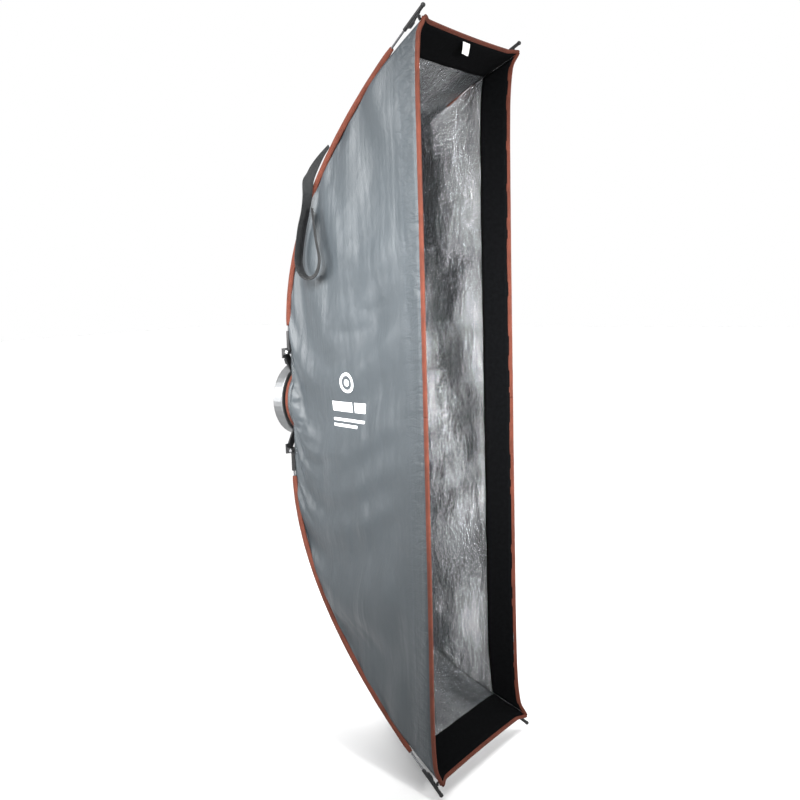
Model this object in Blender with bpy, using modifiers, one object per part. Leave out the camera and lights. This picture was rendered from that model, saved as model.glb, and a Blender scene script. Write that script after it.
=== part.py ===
"""Folding strip softbox, 0.30 x 1.20 m at the front and 0.40 m deep.

Frame: metres, +Z up along the long side, -Y towards the open front, +X across the short side.
The origin is the centre of the speed ring's rear face, where the softbox meets the lamp.
Four sprung rods stand on hinge arms round the ring and stretch the cloth box open.
Each corner piece is modelled once, at the top right, and mirrored to the other three.
"""

import math

import bmesh
import bpy
from mathutils import Matrix, Vector

# Cloth box
WIDTH = 0.300
HEIGHT = 1.200
DEPTH = 0.400
CLOTH = 0.0012
SIDE_EDGE_SAG = 0.0105
END_EDGE_SAG = 0.0050
BINDING_THICKNESS = 0.0034

# Clearance left between pieces that touch
GAP = 0.0003

# Lamp insert and speed ring, whose profiles are (radius, y)
INSERT_BORE = 0.0415
INSERT_RADIUS = 0.0460
INSERT_REAR = 0.0070
INSERT_FLANGE_RADIUS = 0.0515
LUG_RADIUS = 0.0495
LUG_COUNT = 3
LUG_ANGLE = math.radians(36)
RING_RADIUS = 0.0690
RING_DEPTH = 0.0210
RING_POCKET = 0.0170
CHAMFER = 0.0012
CARRIER_RADIUS = 0.0625
CARRIER_FRONT = 0.0335
COLLAR_RADIUS = 0.0650
COLLAR_REAR = -0.0341
COLLAR_BINDING_DEPTH = 0.0058
GROOVE_DEPTH = 0.0015
GROOVE_HALF = 0.0026
GROOVE_SLOPE = 0.0008
LUG_THICKNESS = 0.0030
KNOB_Y = -0.0080
KNOB_LEAN = math.radians(-20)
KNOB_RADIUS = 0.0088
KNOB_LOBES = 6
KNOB_LOBE_HEIGHT = 0.0011
KNOB_HEIGHT = 0.0095
KNOB_FOOT_RADIUS = 0.0055
KNOB_LIFT = 0.0032
KNOB_STEM_RADIUS = 0.0022

# Hinge arms, pins and sockets
ARM_THICKNESS = 0.0030
ARM_HALF_WIDTH = 0.0070
HINGE_X = 0.0560
HINGE_Y = -0.0340
HINGE_Z = 0.0920
EAR_INNER = 0.0052
EAR_THICKNESS = 0.0020
EAR_RADIUS = 0.0044
PIN_RADIUS = 0.0018
PIN_HEAD_RADIUS = 0.0031
PIN_HEAD_HEIGHT = 0.0014
SCREW_CIRCLE = 0.0575
SCREW_HOLE_RADIUS = 0.0025
SCREW_SEAT_RADIUS = 0.0042
SCREW_HEAD_RADIUS = 0.0037
SCREW_SHANK_RADIUS = 0.0020
SCREW_KEY_RADIUS = 0.0018
BARREL_RADIUS = 0.0041
SOCKET_RADIUS = 0.0043
SOCKET_TOP = 0.1300
SOCKET_FLOOR = 0.1030

# Rods: a straight shank, one smooth bend and a straight tip, all in the plane of the side panel
ROD_RADIUS = 0.00175
ROD_BEND_START = 0.1280
ROD_HANDLE_ROOT = 0.1610
ROD_HANDLE_TIP = 0.2550
ROD_BEND_END = (-0.362, 0.590)
ROD_TIP = (-0.405, 0.6187)
ROD_STEPS = 18
SLEEVE_RADIUS = 0.0045
SLEEVE_WALL = 0.0012
SLEEVE_FROM = 0.03
SLEEVE_TO = 0.955

# Seams, where the cloth panels meet beside each rod
SEAM_OFFSET = 0.0056
SEAM_START_Z = 0.0980
SIDE_INSET = 0.0012
END_MARGIN = 0.0026
LIP_INSET = 0.0020
LIP_START = 0.946
BINDING_START = 0.990

# Tip clips, drawn along the rod (u) and towards the cloth (n)
CLIP_START = 0.0020
CLIP_LENGTH = 0.0485
ROD_END_MARGIN = 0.0080
CLIP_RADIUS = 0.0030
CLIP_WEB = 0.0022
BALL_RADIUS = 0.0037
WEB_OUTLINE = (
    (0.0060, 0.0010),
    (0.0420, 0.0010),
    (0.0415, 0.0040),
    (0.0320, 0.0046),
    (0.0262, 0.0058),
    (0.0235, 0.0078),
    (0.0135, 0.0078),
)
WEB_SLOT = ((0.0135, 0.0044), (0.0228, 0.0044), (0.0220, 0.0060), (0.0150, 0.0060))
HOOK_CENTRE = (0.0365, 0.0072)
HOOK_RADII = (0.0016, 0.0034)
HOOK_ARC = (math.radians(-145), math.radians(95))
TAB_WIDTH = 0.0026
TAB_LEGS = (0.0015, 0.0024)
TAB_FOLD = (-0.0005, 0.0003)
TAB_END = 0.0120

# Hanging strap of flat webbing
STRAP_THICKNESS = 0.0016
STRAP_HINGE = (-0.0875, -0.1549, 0.4126)
STRAP_EDGES = (
    ((-0.0913, -0.1697, 0.4466), (-0.0920, -0.1725, 0.4413)),
    ((-0.0857, -0.1439, 0.4325), (-0.0879, -0.1565, 0.4283)),
    ((-0.0823, -0.1238, 0.4177), (-0.0853, -0.1428, 0.4121)),
    ((-0.0856, -0.1162, 0.4046), (-0.0864, -0.1350, 0.3979)),
    ((-0.0969, -0.1150, 0.3900), (-0.0900, -0.1329, 0.3844)),
    ((-0.1094, -0.1242, 0.3620), (-0.0901, -0.1292, 0.3627)),
    ((-0.1075, -0.1179, 0.3374), (-0.0876, -0.1196, 0.3363)),
    ((-0.1034, -0.1055, 0.3111), (-0.0837, -0.1082, 0.3096)),
    ((-0.1002, -0.0953, 0.2755), (-0.0803, -0.0973, 0.2757)),
    ((-0.0994, -0.0924, 0.2532), (-0.0794, -0.0934, 0.2532)),
    ((-0.1004, -0.0984, 0.2355), (-0.0810, -0.0971, 0.2401)),
    ((-0.1022, -0.1103, 0.2252), (-0.0842, -0.1044, 0.2317)),
    ((-0.1039, -0.1265, 0.2212), (-0.0885, -0.1154, 0.2275)),
    ((-0.1063, -0.1427, 0.2254), (-0.0928, -0.1291, 0.2308)),
    ((-0.1083, -0.1537, 0.2385), (-0.0952, -0.1390, 0.2422)),
    ((-0.1088, -0.1575, 0.2577), (-0.0956, -0.1425, 0.2583)),
    ((-0.1065, -0.1512, 0.2799), (-0.0931, -0.1364, 0.2807)),
    ((-0.1040, -0.1444, 0.3140), (-0.0905, -0.1296, 0.3152)),
    ((-0.1018, -0.1396, 0.3429), (-0.0882, -0.1251, 0.3445)),
)

LABEL_WIDTH = 0.022
LABEL_HEIGHT = 0.020
LABEL_MIDDLE_X = -0.004
LABEL_PLACE = 0.984
LABEL_DROP = 0.0070

CORNERS = {
    "top_left": (-1, 1),
    "top_right": (1, 1),
    "bottom_left": (-1, -1),
    "bottom_right": (1, -1),
}

# name: (colour, roughness, metallic)
FINISHES = {
    "outer_cloth": ((0.13, 0.155, 0.175), 0.55, 0.0),
    "black_cloth": ((0.012, 0.012, 0.013), 0.85, 0.0),
    "brown_binding": ((0.22, 0.075, 0.042), 0.80, 0.0),
    "brushed_aluminium": ((0.70, 0.71, 0.73), 0.32, 1.0),
    "black_metal": ((0.020, 0.020, 0.022), 0.40, 0.6),
    "black_plastic": ((0.016, 0.016, 0.017), 0.48, 0.0),
    "spring_steel": ((0.34, 0.34, 0.35), 0.30, 1.0),
    "steel": ((0.62, 0.62, 0.63), 0.25, 1.0),
    "webbing": ((0.014, 0.014, 0.015), 0.75, 0.0),
    "label_cloth": ((0.82, 0.82, 0.80), 0.70, 0.0),
}


# ---------------------------------------------------------------- scene and object helpers


def clear_scene():
    for obj in list(bpy.data.objects):
        bpy.data.objects.remove(obj, do_unlink=True)


def new_collection(name):
    collection = bpy.data.collections.new(name)
    bpy.context.scene.collection.children.link(collection)
    return collection


def make_materials():
    materials = {}
    for name, (colour, roughness, metallic) in FINISHES.items():
        material = bpy.data.materials.new(name)
        material.use_nodes = True
        shader = material.node_tree.nodes["Principled BSDF"]
        shader.inputs["Base Color"].default_value = (*colour, 1.0)
        shader.inputs["Roughness"].default_value = roughness
        shader.inputs["Metallic"].default_value = metallic
        materials[name] = material
    return materials


def add_object(name, mesh, finish, matrix=None):
    """Links a mesh as one named part, moved by the matrix, with its finish."""
    if matrix is not None:
        mesh.transform(matrix)
    mesh.materials.clear()
    mesh.materials.append(MATERIALS[finish])
    mesh.shade_smooth()
    mesh.set_sharp_from_angle(angle=math.radians(35))
    obj = bpy.data.objects.new(name, mesh)
    PARTS.objects.link(obj)
    return obj


def set_origin(obj, point):
    """Puts the object's origin on a joint axis without moving its shape."""
    obj.data.transform(Matrix.Translation(-Vector(point)))
    obj.location = point
    return obj


def evaluated_mesh(obj):
    bpy.context.view_layer.update()
    graph = bpy.context.evaluated_depsgraph_get()
    mesh = bpy.data.meshes.new_from_object(obj.evaluated_get(graph))
    bm = bmesh.new()
    bm.from_mesh(mesh)
    bmesh.ops.remove_doubles(bm, verts=bm.verts, dist=1e-6)
    bm.to_mesh(mesh)
    bm.free()
    return mesh


def curve_mesh(curve):
    """The mesh of a curve's bevel or fill, with its caps welded."""
    holder = bpy.data.objects.new("curve_holder", curve)
    PARTS.objects.link(holder)
    mesh = evaluated_mesh(holder)
    bpy.data.objects.remove(holder, do_unlink=True)
    bpy.data.curves.remove(curve)
    return mesh


def combine(obj, others, operation):
    """Joins the other shapes to an object, or cuts them from it, and removes them."""
    for other in others:
        modifier = obj.modifiers.new(operation.lower(), "BOOLEAN")
        modifier.operation = operation
        modifier.solver = "EXACT"
        modifier.object = other
        finish = obj.data.materials[0].name
        name = obj.name
        mesh = evaluated_mesh(obj)
        bpy.data.objects.remove(other, do_unlink=True)
        bpy.data.objects.remove(obj, do_unlink=True)
        obj = add_object(name, mesh, finish)
    return obj


def mirror_to(obj, name, sign_x, sign_z):
    """Copies a part that was modelled at the top right to another corner."""
    mesh = evaluated_mesh(obj)
    mesh.transform(Matrix.Diagonal((sign_x, 1, sign_z, 1)))
    if sign_x * sign_z < 0:
        mesh.flip_normals()
    return add_object(name, mesh, obj.data.materials[0].name)


# ---------------------------------------------------------------- shape helpers


def turned(name, profile, finish, steps=48):
    """A closed section of (radius, y) points turned about the Y axis.

    The section runs from its inner top over its outer side, with local +Z as world +Y.
    """
    mesh = bpy.data.meshes.new(name)
    bm = bmesh.new()
    points = [bm.verts.new((radius, 0, y)) for radius, y in profile]
    for first, second in zip(points, points[1:] + points[:1]):
        bm.edges.new((first, second))
    bm.to_mesh(mesh)
    bm.free()
    obj = bpy.data.objects.new("turned_profile", mesh)
    PARTS.objects.link(obj)
    screw = obj.modifiers.new("turn", "SCREW")
    screw.axis = "Z"
    screw.steps = steps
    screw.render_steps = steps
    screw.use_merge_vertices = True
    screw.merge_threshold = 1e-5
    solid = evaluated_mesh(obj)
    bpy.data.objects.remove(obj, do_unlink=True)
    return add_object(name, solid, finish, Matrix.Rotation(-math.pi / 2, 4, "X"))


def cylinder(name, radius, start, end, finish, sides=16):
    start, end = Vector(start), Vector(end)
    axis = end - start
    mesh = bpy.data.meshes.new(name)
    bm = bmesh.new()
    bmesh.ops.create_cone(
        bm,
        cap_ends=True,
        segments=sides,
        radius1=radius,
        radius2=radius,
        depth=axis.length,
    )
    bm.to_mesh(mesh)
    bm.free()
    turn = axis.to_track_quat("Z", "Y").to_matrix().to_4x4()
    return add_object(name, mesh, finish, Matrix.Translation((start + end) / 2) @ turn)


def plate(name, outlines, thickness, frame, finish):
    """A flat plate from closed outlines, the first outside and any others as holes."""
    curve = bpy.data.curves.new(name, "CURVE")
    curve.dimensions = "2D"
    curve.fill_mode = "BOTH"
    curve.extrude = thickness / 2
    for outline in outlines:
        spline = curve.splines.new("POLY")
        spline.points.add(len(outline) - 1)
        for point, (across, along) in zip(spline.points, outline):
            point.co = (across, along, 0, 1)
        spline.use_cyclic_u = True
    mesh = curve_mesh(curve)
    if frame.to_3x3().determinant() < 0:
        mesh.flip_normals()
    return add_object(name, mesh, finish, frame)


def tube_curve(points, radius, capped):
    curve = bpy.data.curves.new("tube", "CURVE")
    curve.dimensions = "3D"
    curve.bevel_depth = radius
    curve.bevel_resolution = 2
    curve.use_fill_caps = capped
    spline = curve.splines.new("POLY")
    spline.points.add(len(points) - 1)
    for point, place in zip(spline.points, points):
        point.co = (*place, 1)
    return curve


def wire(name, points, radius, finish):
    return add_object(name, curve_mesh(tube_curve(points, radius, True)), finish)


def hose(name, points, radius, wall, finish):
    """A hollow tube, open at both ends."""
    obj = add_object(name, curve_mesh(tube_curve(points, radius, False)), finish)
    return thicken(obj, wall, -1)


def thicken(obj, thickness, offset):
    solidify = obj.modifiers.new("thickness", "SOLIDIFY")
    solidify.thickness = thickness
    solidify.offset = offset
    return obj


def sheet(name, surface, along, across, thickness, finish):
    """A thin shell over a grid of points of surface(s, a)."""
    mesh = bpy.data.meshes.new(name)
    bm = bmesh.new()
    rows = [[bm.verts.new(surface(s, a)) for a in across] for s in along]
    for lower, upper in zip(rows, rows[1:]):
        for i in range(len(across) - 1):
            bm.faces.new((lower[i], lower[i + 1], upper[i + 1], upper[i]))
    bm.to_mesh(mesh)
    bm.free()
    return thicken(add_object(name, mesh, finish), thickness, 0)


def spread(low, high, count):
    return [low + (high - low) * i / count for i in range(count + 1)]


def arc(centre, radius, start, end, count):
    return [
        (
            centre[0] + radius * math.cos(angle),
            centre[1] + radius * math.sin(angle),
        )
        for angle in spread(start, end, count)
    ]


def basis(first, second, third, origin):
    matrix = Matrix((first, second, third)).transposed().to_4x4()
    matrix.translation = origin
    return matrix


# ---------------------------------------------------------------- rods and cloth surfaces


def side_x(y):
    """Half the width between the side planes at a depth y."""
    grow = (WIDTH / 2 + SIDE_INSET - HINGE_X) / (HINGE_Y + DEPTH)
    return HINGE_X + grow * (HINGE_Y - y)


def tip_direction():
    start, end = Vector(ROD_BEND_END), Vector(ROD_TIP)
    return (end - start).normalized()


def bend(t):
    """The rod's centre line over its bend, as (y, z), and its direction there."""
    p0 = Vector((HINGE_Y, ROD_BEND_START))
    p1 = p0 + Vector((0, ROD_HANDLE_ROOT))
    p3 = Vector(ROD_BEND_END)
    p2 = p3 - tip_direction() * ROD_HANDLE_TIP
    u = 1 - t
    place = u**3 * p0 + 3 * u * u * t * p1 + 3 * u * t * t * p2 + t**3 * p3
    direction = u * u * (p1 - p0) + 2 * u * t * (p2 - p1) + t * t * (p3 - p2)
    return place, direction.normalized()


def rod_point(yz):
    return Vector((side_x(yz[0]), yz[0], yz[1]))


def seam(s):
    """Where the panels meet, as (y, z): s runs from the rear edge to the front corner."""
    shank = 0.05
    if s < shank:
        z = SEAM_START_Z + (ROD_BEND_START - SEAM_START_Z) * s / shank
        return HINGE_Y - SEAM_OFFSET, z
    t = (s - shank) / (1 - shank)
    place, direction = bend(t)
    place = place + Vector((-direction.y, direction.x)) * SEAM_OFFSET
    end, end_direction = bend(1)
    end = end + Vector((-end_direction.y, end_direction.x)) * SEAM_OFFSET
    corner = Vector((-DEPTH, HEIGHT / 2))
    reach = max(0.0, (t - 0.80) / 0.20)
    place += (corner - end) * reach * reach
    return place.x, place.y


def side_surface(sign, inset=0.0, shorten=0.0):
    """The left or right panel: flat between the seams, its front edge drawn back."""

    def point(s, a):
        y, z = seam(s)
        height = a * (z - shorten)
        y += SIDE_EDGE_SAG * (1 - (height / z) ** 16) * s**8
        x = sign * (side_x(y) - SIDE_INSET - inset)
        return Vector((x, y, height))

    return point


def end_surface(sign, inset=0.0, shorten=0.0):
    """The top or bottom panel: it curves with the rods, its front edge drawn in."""

    def point(s, a):
        y, z = seam(s)
        half = side_x(y) - END_MARGIN - shorten
        z -= END_EDGE_SAG * (1 - a * a) * s**8 + inset
        return Vector((a * half, y, sign * z))

    return point


# ---------------------------------------------------------------- ring, insert and knob


def make_insert():
    """The bayonet insert that locks into the lamp, with three lugs at its rear end."""
    front = -RING_DEPTH + 2 * GAP
    step = front + 0.0030
    profile = (
        (INSERT_BORE, INSERT_REAR),
        (INSERT_RADIUS, INSERT_REAR),
        (INSERT_RADIUS, KNOB_Y + GROOVE_HALF + GROOVE_SLOPE),
        (INSERT_RADIUS - GROOVE_DEPTH, KNOB_Y + GROOVE_HALF),
        (INSERT_RADIUS - GROOVE_DEPTH, KNOB_Y - GROOVE_HALF),
        (INSERT_RADIUS, KNOB_Y - GROOVE_HALF - GROOVE_SLOPE),
        (INSERT_RADIUS, step),
        (INSERT_FLANGE_RADIUS, step),
        (INSERT_FLANGE_RADIUS, front),
        (INSERT_BORE, front),
    )
    insert = turned("mount_insert", profile, "brushed_aluminium")
    lugs = []
    for index in range(LUG_COUNT):
        middle = math.radians(90) + index * math.tau / LUG_COUNT
        low, high = middle - LUG_ANGLE / 2, middle + LUG_ANGLE / 2
        outline = arc((0, 0), LUG_RADIUS, low, high, 6)
        outline += arc((0, 0), INSERT_RADIUS - 0.001, high, low, 6)
        frame = basis((1, 0, 0), (0, 0, 1), (0, -1, 0), (0, INSERT_REAR - 0.0020, 0))
        lug = plate(f"lug_{index}", [outline], LUG_THICKNESS, frame, "brushed_aluminium")
        lugs.append(lug)
    return combine(insert, lugs, "UNION")


def arm_angle():
    return math.atan2(HINGE_Z, HINGE_X)


def screw_place(y):
    angle = arm_angle()
    return Vector((SCREW_CIRCLE * math.cos(angle), y, SCREW_CIRCLE * math.sin(angle)))


def screw_bore(name, radius, front, rear, sides=12):
    """A cylinder on a carrier screw's axis, as the screw's own body or as a cutter."""
    return cylinder(name, radius, screw_place(front), screw_place(rear), "steel", sides)


def lean_to_knob(obj):
    """Turns an object built straight up round the ring to the knob's place."""
    obj.data.transform(Matrix.Rotation(KNOB_LEAN, 4, "Y") @ obj.matrix_world)
    obj.matrix_world = Matrix.Identity(4)


def make_speed_ring():
    """The turned aluminium ring, which turns on the insert and carries the rods."""
    bore = INSERT_RADIUS + 0.0005
    pocket = INSERT_FLANGE_RADIUS + 0.0005
    profile = (
        (bore, 0),
        (RING_RADIUS - CHAMFER, 0),
        (RING_RADIUS, -CHAMFER),
        (RING_RADIUS, -RING_DEPTH + CHAMFER),
        (RING_RADIUS - CHAMFER, -RING_DEPTH),
        (pocket, -RING_DEPTH),
        (pocket, -RING_POCKET),
        (bore, -RING_POCKET),
    )
    ring = turned("speed_ring", profile, "brushed_aluminium")
    knob_hole = cylinder(
        "knob_hole",
        KNOB_STEM_RADIUS + 0.0004,
        (0, KNOB_Y, INSERT_RADIUS - 0.006),
        (0, KNOB_Y, RING_RADIUS + 0.003),
        "steel",
    )
    lean_to_knob(knob_hole)
    cutters = [knob_hole]
    for name, (sign_x, sign_z) in CORNERS.items():
        hole = screw_bore("hole", SCREW_HOLE_RADIUS, -RING_DEPTH - 0.002, 0.002)
        seat = screw_bore("seat", SCREW_SEAT_RADIUS, -0.0035, 0.002)
        for cutter in (hole, seat):
            cutters.append(mirror_to(cutter, f"cutter_{name}", sign_x, sign_z))
            bpy.data.objects.remove(cutter, do_unlink=True)
    return combine(ring, cutters, "DIFFERENCE")


def make_carrier():
    """The black ring that clamps the hinge arms and holds the insert's flange in."""
    rear = -RING_DEPTH - ARM_THICKNESS - 2 * GAP
    profile = (
        (INSERT_RADIUS + 0.0010, rear),
        (CARRIER_RADIUS, rear),
        (CARRIER_RADIUS, -CARRIER_FRONT + CHAMFER),
        (CARRIER_RADIUS - CHAMFER, -CARRIER_FRONT),
        (INSERT_RADIUS + 0.0010, -CARRIER_FRONT),
    )
    carrier = turned("carrier_ring", profile, "black_metal")
    cutters = []
    for name, (sign_x, sign_z) in CORNERS.items():
        hole = screw_bore("hole", SCREW_HOLE_RADIUS, -CARRIER_FRONT + 0.0025, -0.018)
        cutters.append(mirror_to(hole, f"cutter_{name}", sign_x, sign_z))
        bpy.data.objects.remove(hole, do_unlink=True)
    return combine(carrier, cutters, "DIFFERENCE")


def make_collar():
    """The short cloth sleeve round the carrier ring, with its bound rear edge."""
    front = HINGE_Y - SEAM_OFFSET + CLOTH
    rear = COLLAR_REAR
    profile = (
        (COLLAR_RADIUS - CLOTH, rear),
        (COLLAR_RADIUS, rear),
        (COLLAR_RADIUS + 0.0012, (rear + front) / 2),
        (COLLAR_RADIUS, front),
        (COLLAR_RADIUS - CLOTH, front),
        (COLLAR_RADIUS, (rear + front) / 2),
    )
    turned("rear_collar", profile, "outer_cloth", 40)
    inner, outer = COLLAR_RADIUS - 0.0014, COLLAR_RADIUS + 0.0018
    low, high = rear + GAP, rear + COLLAR_BINDING_DEPTH
    binding = (
        (inner + 0.001, high),
        (outer - 0.001, high),
        (outer, high - 0.001),
        (outer, low + 0.001),
        (outer - 0.001, low),
        (inner, low),
        (inner, high - 0.001),
    )
    turned("collar_binding", binding, "brown_binding", 40)


def make_knob():
    """The lobed clamp screw on top of the ring, whose stem bears in the insert's groove."""
    outline = []
    for index in range(48):
        angle = index * math.tau / 48
        radius = KNOB_RADIUS + KNOB_LOBE_HEIGHT * math.cos(KNOB_LOBES * angle)
        outline.append((radius * math.cos(angle), radius * math.sin(angle)))
    base = RING_RADIUS + KNOB_LIFT
    frame = Matrix.Translation((0, KNOB_Y, base + KNOB_HEIGHT / 2))
    knob = plate("lock_knob", [outline], KNOB_HEIGHT, frame, "black_plastic")
    foot = cylinder(
        "foot",
        KNOB_FOOT_RADIUS,
        (0, KNOB_Y, RING_RADIUS + 2 * GAP),
        (0, KNOB_Y, base + 0.001),
        "black_plastic",
    )
    stem = cylinder(
        "stem",
        KNOB_STEM_RADIUS,
        (0, KNOB_Y, INSERT_RADIUS - 0.0011),
        (0, KNOB_Y, base + 0.002),
        "black_plastic",
    )
    knob = combine(knob, [foot, stem], "UNION")
    lean_to_knob(knob)
    set_origin(knob, (0, KNOB_Y, 0))


# ---------------------------------------------------------------- hinge arms, pins, sockets


def make_hinge_arm():
    """A flat steel arm clamped under the carrier ring, ending in a two-eared hinge."""
    angle = arm_angle()
    along = Vector((math.cos(angle), 0, math.sin(angle)))
    across = Vector((-math.sin(angle), 0, math.cos(angle)))
    middle_y = -RING_DEPTH - GAP - ARM_THICKNESS / 2
    inner = 0.0535
    reach = math.hypot(HINGE_X, HINGE_Z)
    outline = arc((inner + 0.004, 0), ARM_HALF_WIDTH, math.pi * 1.5, math.pi / 2, 8)
    outline += [(reach - 0.008, ARM_HALF_WIDTH), (reach - 0.008, -ARM_HALF_WIDTH)]
    frame = basis(along, across, along.cross(across), (0, middle_y, 0))
    strip = plate("hinge_arm", [outline], ARM_THICKNESS, frame, "black_metal")
    flat = basis((1, 0, 0), (0, 0, 1), (0, -1, 0), (HINGE_X, middle_y, HINGE_Z))
    half = EAR_INNER + EAR_THICKNESS
    pad_outline = [(-half, -0.012), (half, -0.012), (half, 0.006), (-half, 0.006)]
    pad = plate("pad", [pad_outline], ARM_THICKNESS, flat, "black_metal")
    ears = []
    for sign in (-1, 1):
        depth = HINGE_Y - middle_y
        ear = [(0.0, -0.0060), (0.0, 0.0060)]
        ear += arc((depth, 0), EAR_RADIUS, math.pi / 2, math.pi * 1.5, 6)
        place = (HINGE_X + sign * (EAR_INNER + EAR_THICKNESS / 2), middle_y, HINGE_Z)
        frame = basis((0, 1, 0), (0, 0, 1), (1, 0, 0), place)
        ears.append(plate("ear", [ear], EAR_THICKNESS, frame, "black_metal"))
    arm = combine(strip, [pad, *ears], "UNION")
    centre = Vector((HINGE_X, HINGE_Y, HINGE_Z))
    pin_hole = cylinder(
        "pin_hole",
        PIN_RADIUS + GAP,
        centre - Vector((0.012, 0, 0)),
        centre + Vector((0.012, 0, 0)),
        "steel",
        12,
    )
    screw_hole = screw_bore(
        "screw_hole", SCREW_HOLE_RADIUS, middle_y - 0.004, middle_y + 0.004
    )
    return combine(arm, [pin_hole, screw_hole], "DIFFERENCE")


def make_hinge_pin():
    """The rivet through both ears, with a round head on each side."""
    half = EAR_INNER + EAR_THICKNESS + GAP
    centre = Vector((HINGE_X, HINGE_Y, HINGE_Z))
    out = Vector((1, 0, 0))
    pin = cylinder(
        "hinge_pin", PIN_RADIUS, centre - out * half, centre + out * half, "steel", 12
    )
    heads = [
        cylinder(
            "head",
            PIN_HEAD_RADIUS,
            centre + out * sign * half,
            centre + out * sign * (half + PIN_HEAD_HEIGHT),
            "steel",
            12,
        )
        for sign in (-1, 1)
    ]
    return combine(pin, heads, "UNION")


def make_socket():
    """The hinged socket that the rod's foot is fixed in."""
    centre = Vector((HINGE_X, HINGE_Y, HINGE_Z))
    out = Vector((EAR_INNER - 2 * GAP, 0, 0))
    up = Vector((0, 0, 1))
    barrel = cylinder(
        "rod_socket", BARREL_RADIUS, centre - out, centre + out, "black_metal", 16
    )
    top = Vector((HINGE_X, HINGE_Y, SOCKET_TOP))
    tube = cylinder("tube", SOCKET_RADIUS, centre, top, "black_metal", 16)
    bore = cylinder(
        "bore",
        ROD_RADIUS + GAP,
        (HINGE_X, HINGE_Y, SOCKET_FLOOR),
        top + up * 0.002,
        "steel",
        12,
    )
    pin_hole = cylinder(
        "pin_hole", PIN_RADIUS + GAP, centre - 2 * out, centre + 2 * out, "steel", 12
    )
    socket = combine(barrel, [tube], "UNION")
    return combine(socket, [bore, pin_hole], "DIFFERENCE")


def make_screw():
    """A socket-head screw that clamps ring, arm and carrier together."""
    screw = screw_bore("carrier_screw", SCREW_HEAD_RADIUS, -0.0032, -0.0002)
    shank = screw_bore("shank", SCREW_SHANK_RADIUS, -0.0300, -0.0030)
    key = screw_bore("key", SCREW_KEY_RADIUS, -0.0018, 0.0020, 6)
    screw = combine(screw, [shank], "UNION")
    return combine(screw, [key], "DIFFERENCE")


# ---------------------------------------------------------------- rods, sleeves, clips, tabs


def make_rod():
    path = [rod_point((HINGE_Y, SOCKET_FLOOR + 2 * GAP))]
    path += [rod_point(bend(t)[0]) for t in spread(0, 1, ROD_STEPS)]
    end = Vector(ROD_TIP) - tip_direction() * ROD_END_MARGIN
    path.append(rod_point(end))
    return wire("rod", path, ROD_RADIUS, "spring_steel")


def make_sleeve():
    """The sewn tunnel along the seam that the rod runs in."""
    path = [
        rod_point(bend(t)[0]) for t in spread(SLEEVE_FROM, SLEEVE_TO, ROD_STEPS - 2)
    ]
    return hose("rod_sleeve", path, SLEEVE_RADIUS, SLEEVE_WALL, "brown_binding")


def tip_frame():
    """Axes at the start of the rod's straight tip: along it, towards the cloth, across."""
    start = rod_point(ROD_BEND_END)
    along = (rod_point(ROD_TIP) - start).normalized()
    across = along.cross(Vector((0, 0, -1))).normalized()
    inward = across.cross(along).normalized()
    return basis(along, inward, along.cross(inward), start)


def make_clip():
    """A tube over the rod's tip with a ball end, a slotted web and a curled hook."""
    frame = tip_frame()
    start = frame @ Vector((CLIP_START, 0, 0))
    end = frame @ Vector((CLIP_START + CLIP_LENGTH, 0, 0))
    tip = frame @ Vector(((rod_point(ROD_TIP) - frame.translation).length, 0, 0))
    clip = cylinder("tip_clip", CLIP_RADIUS, start, end, "black_plastic", 12)
    mesh = bpy.data.meshes.new("ball")
    bm = bmesh.new()
    bmesh.ops.create_uvsphere(bm, u_segments=12, v_segments=8, radius=BALL_RADIUS)
    bm.to_mesh(mesh)
    bm.free()
    ball = add_object("ball", mesh, "black_plastic", Matrix.Translation(tip))
    web = plate("web", [WEB_OUTLINE, WEB_SLOT], CLIP_WEB, frame, "black_plastic")
    inner, outer = HOOK_RADII
    low, high = HOOK_ARC
    hook_outline = arc(HOOK_CENTRE, outer, low, high, 12)
    hook_outline += arc(HOOK_CENTRE, inner, high, low, 12)
    hook = plate("hook", [hook_outline], CLIP_WEB, frame, "black_plastic")
    clip = combine(clip, [ball, web, hook], "UNION")
    bore_end = frame @ Vector((CLIP_LENGTH - 0.002, 0, 0))
    bore_start = frame @ Vector((CLIP_START - 0.002, 0, 0))
    bore = cylinder("bore", ROD_RADIUS + GAP, bore_start, bore_end, "steel", 12)
    return combine(clip, [bore], "DIFFERENCE")


def make_tab():
    """The webbing tab at the cloth's corner, folded over the clip's hook."""
    middle, depth = HOOK_CENTRE
    frame = tip_frame()
    fold = frame @ basis((0, 0, 1), (0, 1, 0), (-1, 0, 0), (middle, 0, 0))
    top, under = depth + TAB_FOLD[0], depth + TAB_FOLD[1]
    inner, outer = TAB_LEGS
    outline = [
        (-outer, TAB_END),
        (-outer, top),
        (outer, top),
        (outer, TAB_END),
        (inner, TAB_END),
        (inner, under),
        (-inner, under),
        (-inner, TAB_END),
    ]
    return plate("corner_tab", [outline], TAB_WIDTH, fold, "webbing")


def make_corners():
    makers = (
        make_hinge_arm,
        make_hinge_pin,
        make_socket,
        make_screw,
        make_rod,
        make_sleeve,
        make_clip,
        make_tab,
    )
    hinge = Vector((HINGE_X, HINGE_Y, HINGE_Z))
    clip_origin = tip_frame().translation
    origins = {"rod_socket": hinge, "rod": hinge, "rod_sleeve": hinge}
    origins.update({"tip_clip": clip_origin, "corner_tab": hinge})
    for make in makers:
        master = make()
        base = master.name
        for corner, (sign_x, sign_z) in CORNERS.items():
            copy = mirror_to(master, f"{base}_{corner}", sign_x, sign_z)
            if base in origins:
                place = origins[base]
                set_origin(copy, (sign_x * place.x, place.y, sign_z * place.z))
        bpy.data.objects.remove(master, do_unlink=True)


# ---------------------------------------------------------------- cloth


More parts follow.
